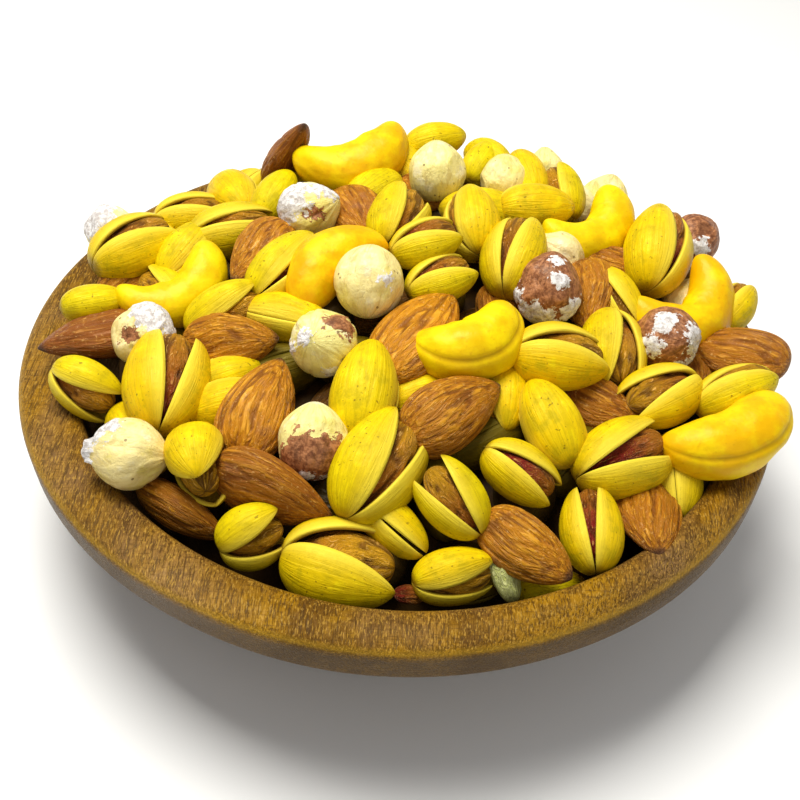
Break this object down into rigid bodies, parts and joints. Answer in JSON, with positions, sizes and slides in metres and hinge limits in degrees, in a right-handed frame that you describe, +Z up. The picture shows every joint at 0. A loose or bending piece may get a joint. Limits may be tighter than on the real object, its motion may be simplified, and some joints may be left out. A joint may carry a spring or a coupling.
{
  "type": "bowl of mixed nuts",
  "caption": "Round carved wooden bowl with a sloping wall and a broad rim, heaped with pistachios in their shells, cashews, almonds and hazelnuts.",
  "frame": {"origin": "centre of the bowl's flat base, on the table", "axes": "+Z up, -Y towards the front of the bowl as pictured, +X to the right"},
  "size_m": [0.1602, 0.16, 0.0631],
  "materials": {
    "oiled_wood": "oiled, satin",
    "saffron_nuts": "dry roasted nuts and shells, satin"
  },
  "bodies": {
    "root": {"bowl": "oiled_wood", "nut_heap": "saffron_nuts"}
  },
  "joints": []
}
